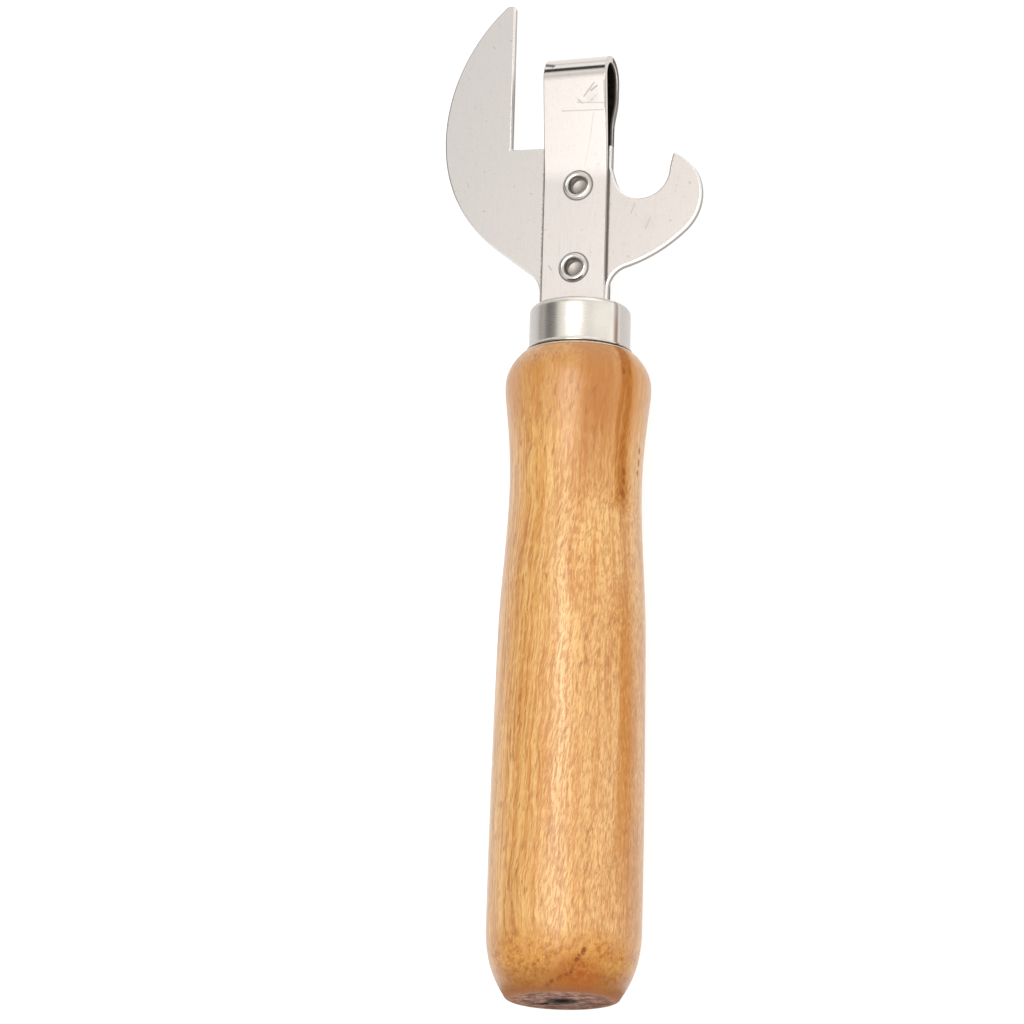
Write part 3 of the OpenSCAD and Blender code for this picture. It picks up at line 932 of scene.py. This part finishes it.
# ---------------------------------------------------------------- marks, dirt and painted shade of the flat steel
def plate_edge_shade(s, x, y, z):
    """Painted shade on the left-facing ground edge of the blade's back, darkest halfway up."""
    facing = s.parts(s.node("TexCoord").outputs["Normal"])[0]
    dull = s.times(s.blend(s.step(y, 166, 158), 0.45, 0.72), s.blend(s.step(y, 134, 144), 0.05, 1.0))
    # Painted shade: edges facing left are darkened.
    return s.times(s.step(facing, -0.03, -0.20), dull)


def strip_edge_shade(s, x, y, z):
    """Dirt and painted shade on the left-facing edge where it lies on the plate, and a scuffed stretch of
    the right edge above.
    """
    facing = s.parts(s.node("TexCoord").outputs["Normal"])[0]
    # Dirt and painted shade on edges facing left, low on the strip.
    dirt = s.times(s.times(s.step(facing, -0.06, -0.28), s.step(y, 149.0, 148.2)), 0.50)
    scuffed = s.between(y, 152.2, 153.8, 158.8, 160.0)
    return s.most(dirt, s.times(s.times(scuffed, s.step(facing, 0.05, 0.30)), 0.45))


def plate_side_shade(s, x, y, z):
    """The straight side of the blade is bright near its tip and dull below; the other sides are dull."""
    tip = s.times(s.step(y, 158, 164), s.step(x, -18, -14))
    return s.times(s.minus(1.0, tip), 0.30)


def strip_side_shade(s, x, y, z):
    """Dirt and painted shade in the corner above the plate; painted shade in the closed end of the loop and
    on the loop's rear leg.
    """
    above = s.minus(s.minus(z, plate_top), s.blend(s.step(y, 137, 145), 0.35, 0.75))
    # Dirt and painted shade in the corner above the plate.
    corner = s.times(s.step(above, 0.12, -0.12), s.step(y, 149.5, 148.5))
    corner = s.times(corner, 0.85)
    # Painted shade in the closed end of the loop.
    closed = s.between(y, 146.5, 147.5, 151.6, 152.8)
    closed = s.times(s.times(closed, s.step(above, 0.3, -0.1)), 0.9)
    # Painted shade on the loop's rear leg.
    rear = s.times(s.times(s.step(z, 0.3, -0.2), s.step(y, 150.8, 151.8)), s.step(y, 167.5, 165))
    rear = s.times(rear, s.blend(s.step(y, 158, 163), 0.72, 0.88))
    return s.most(corner, s.most(closed, rear))


# Lines of dirt, of painted shadow and of scratches: start and end (across, from the butt), width, strength
PLATE_LINES = (
    # Dirt and painted shadow along both sides of the strip, where it lies on the plate.
    ((strip_left - 0.1, 100), (strip_left - 0.1, NOTCH_Y), 0.70, 0.8),
    ((strip_right + 0.1, 100), (strip_right + 0.1, 147), 0.30, 0.8),
    ((8.8, 135.6), (9.5, 137.4), 0.14, 0.30),
    ((11.5, 132.6), (12.3, 134.6), 0.16, 0.30),
    ((10.2, 139.2), (10.6, 140.4), 0.12, 0.22),
    ((-21.0, 143.4), (-20.6, 142.4), 0.16, 0.22),
    ((-16.9, 167.8), (-16.6, 167.4), 0.18, 0.25),
)
STRIP_LINES = (
    ((-3.2, 154.1), (4.2, 153.8), 0.16, 0.30),
    ((-0.4, 155.4), (4.3, 155.0), 0.16, 0.30),
    ((2.6, 158.6), (0.8, 156.4), 0.20, 0.40),
    ((2.1, 157.3), (3.1, 158.0), 0.26, 0.45),
    ((-0.2, 155.8), (0.5, 155.2), 0.22, 0.35),
    ((1.6, 155.3), (3.2, 156.6), 0.14, 0.25),
    ((4.45, 158.8), (4.5, 154.2), 0.22, 0.45),
    ((2.4, 153.3), (1.9, 149.4), 0.12, 0.20),
    ((1.9, 149.4), (0.8, 144.4), 0.12, 0.16),
    ((-6.3, 162.6), (-4.9, 162.3), 0.45, 0.8),
    ((-5.3, 126.9), (-4.8, 126.1), 0.16, 0.35),
)
RIVETS = (mark_place("rivet_upper"), mark_place("rivet_lower"))

# ---------------------------------------------------------------- materials of sheet and rivets
plate_steel = steel("plate_steel", colour(217, 209, 203), colour(212, 207, 203), 0.30, brushed=0.35,
                    specks=0.4, lines=PLATE_LINES, smears=(((11.9, 133.8), 2.4, 0.10),))
strip_steel = steel("strip_steel", colour(221, 213, 208), colour(215, 208, 203), 0.32, specks=0.3,
                    bend_rough=0.12, lines=STRIP_LINES, smears=(((2.2, 156.0), 2.9, 0.13),),
                    # Dirt and a painted contact shadow in a ring round each rivet.
                    rings=[(middle, 2.62, 0.16, 0.75) for middle in RIVETS])
plate_edge_steel = steel("plate_edge_steel", colour(242, 238, 234), colour(236, 230, 226), 0.24,
                         shade=plate_edge_shade)
strip_edge_steel = steel("strip_edge_steel", colour(206, 197, 191), colour(190, 182, 176), 0.30,
                         shade=strip_edge_shade)
plate_side_steel = steel("plate_side_steel", colour(190, 182, 176), colour(176, 168, 162), 0.38, specks=0.4,
                         shade=plate_side_shade)
strip_side_steel = steel("strip_side_steel", colour(212, 204, 198), colour(196, 188, 182), 0.34, specks=0.3,
                         shade=strip_side_shade)
rivet_steel = steel("rivet_steel", colour(222, 216, 210), colour(194, 188, 182), 0.2, brushed=0.2,
                    # Dirt and painted shade in a ring at the mouth of each rivet's hollow.
                    specks=0.3, rings=[(middle, 1.5, 0.14, 0.85) for middle in RIVETS])
hollow_steel = steel("hollow_steel", colour(176, 169, 163), colour(160, 153, 147), 0.50, brushed=0.2,
                     specks=0.4)
inner_steel = old_grease()


# ---------------------------------------------------------------- pieces
def dress(piece, node, slot, *materials):
    """Gives a finished piece its materials and its body, and hides the CAD node that it stands for. slot is
    not used.
    """
    for material in materials:
        piece.data.materials.append(material)
    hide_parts(node)
    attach(piece, "root")
    return piece


def is_end_grain(face):
    """True on the butt face, in its centre hole and in the slits as far out as the raw wood shows."""
    from_axis = Vector((face.center.x - AXIS.x, face.center.z - AXIS.z)).length
    inside = face.center.y < along(CENTRE_HOLE_DEPTH + 0.1) and from_axis < RAW_R * MM
    return inside or face.center.y < along(BUTT_FLAT)


handle = dress(make_handle(), "handle", "varnished_wood", varnished_wood(), raw_end_grain())
for face in handle.data.polygons:
    if is_end_grain(face):
        face.material_index = 1
dress(make_ferrule(), "ferrule", "ferrule_steel", polished_steel())
plate = refined("blade_plate", "blade_plate_steel", PLATE_EDGE_ROUND * MM, plate_slot,
                (plate_steel, plate_edge_steel, plate_side_steel))
dress(plate, "blade_plate", "plate_steel")
strip = refined("guide_strip", "guide_strip_steel", STRIP_EDGE_ROUND * MM, strip_slot,
                (strip_steel, strip_edge_steel, strip_side_steel, inner_steel))
dress(strip, "guide_strip", "strip_steel")
for node, squeeze in (("rivet_upper", 0.06), ("rivet_lower", 0.04)):
    dress(make_rivet(node, node + "_steel", squeeze), node, "rivet_steel", rivet_steel, hollow_steel)

# ---------------------------------------------------------------- stage
aim_camera()
make_floor()
studio_world()
make_softbox()
bpy.context.scene.view_settings.view_transform = "Standard"
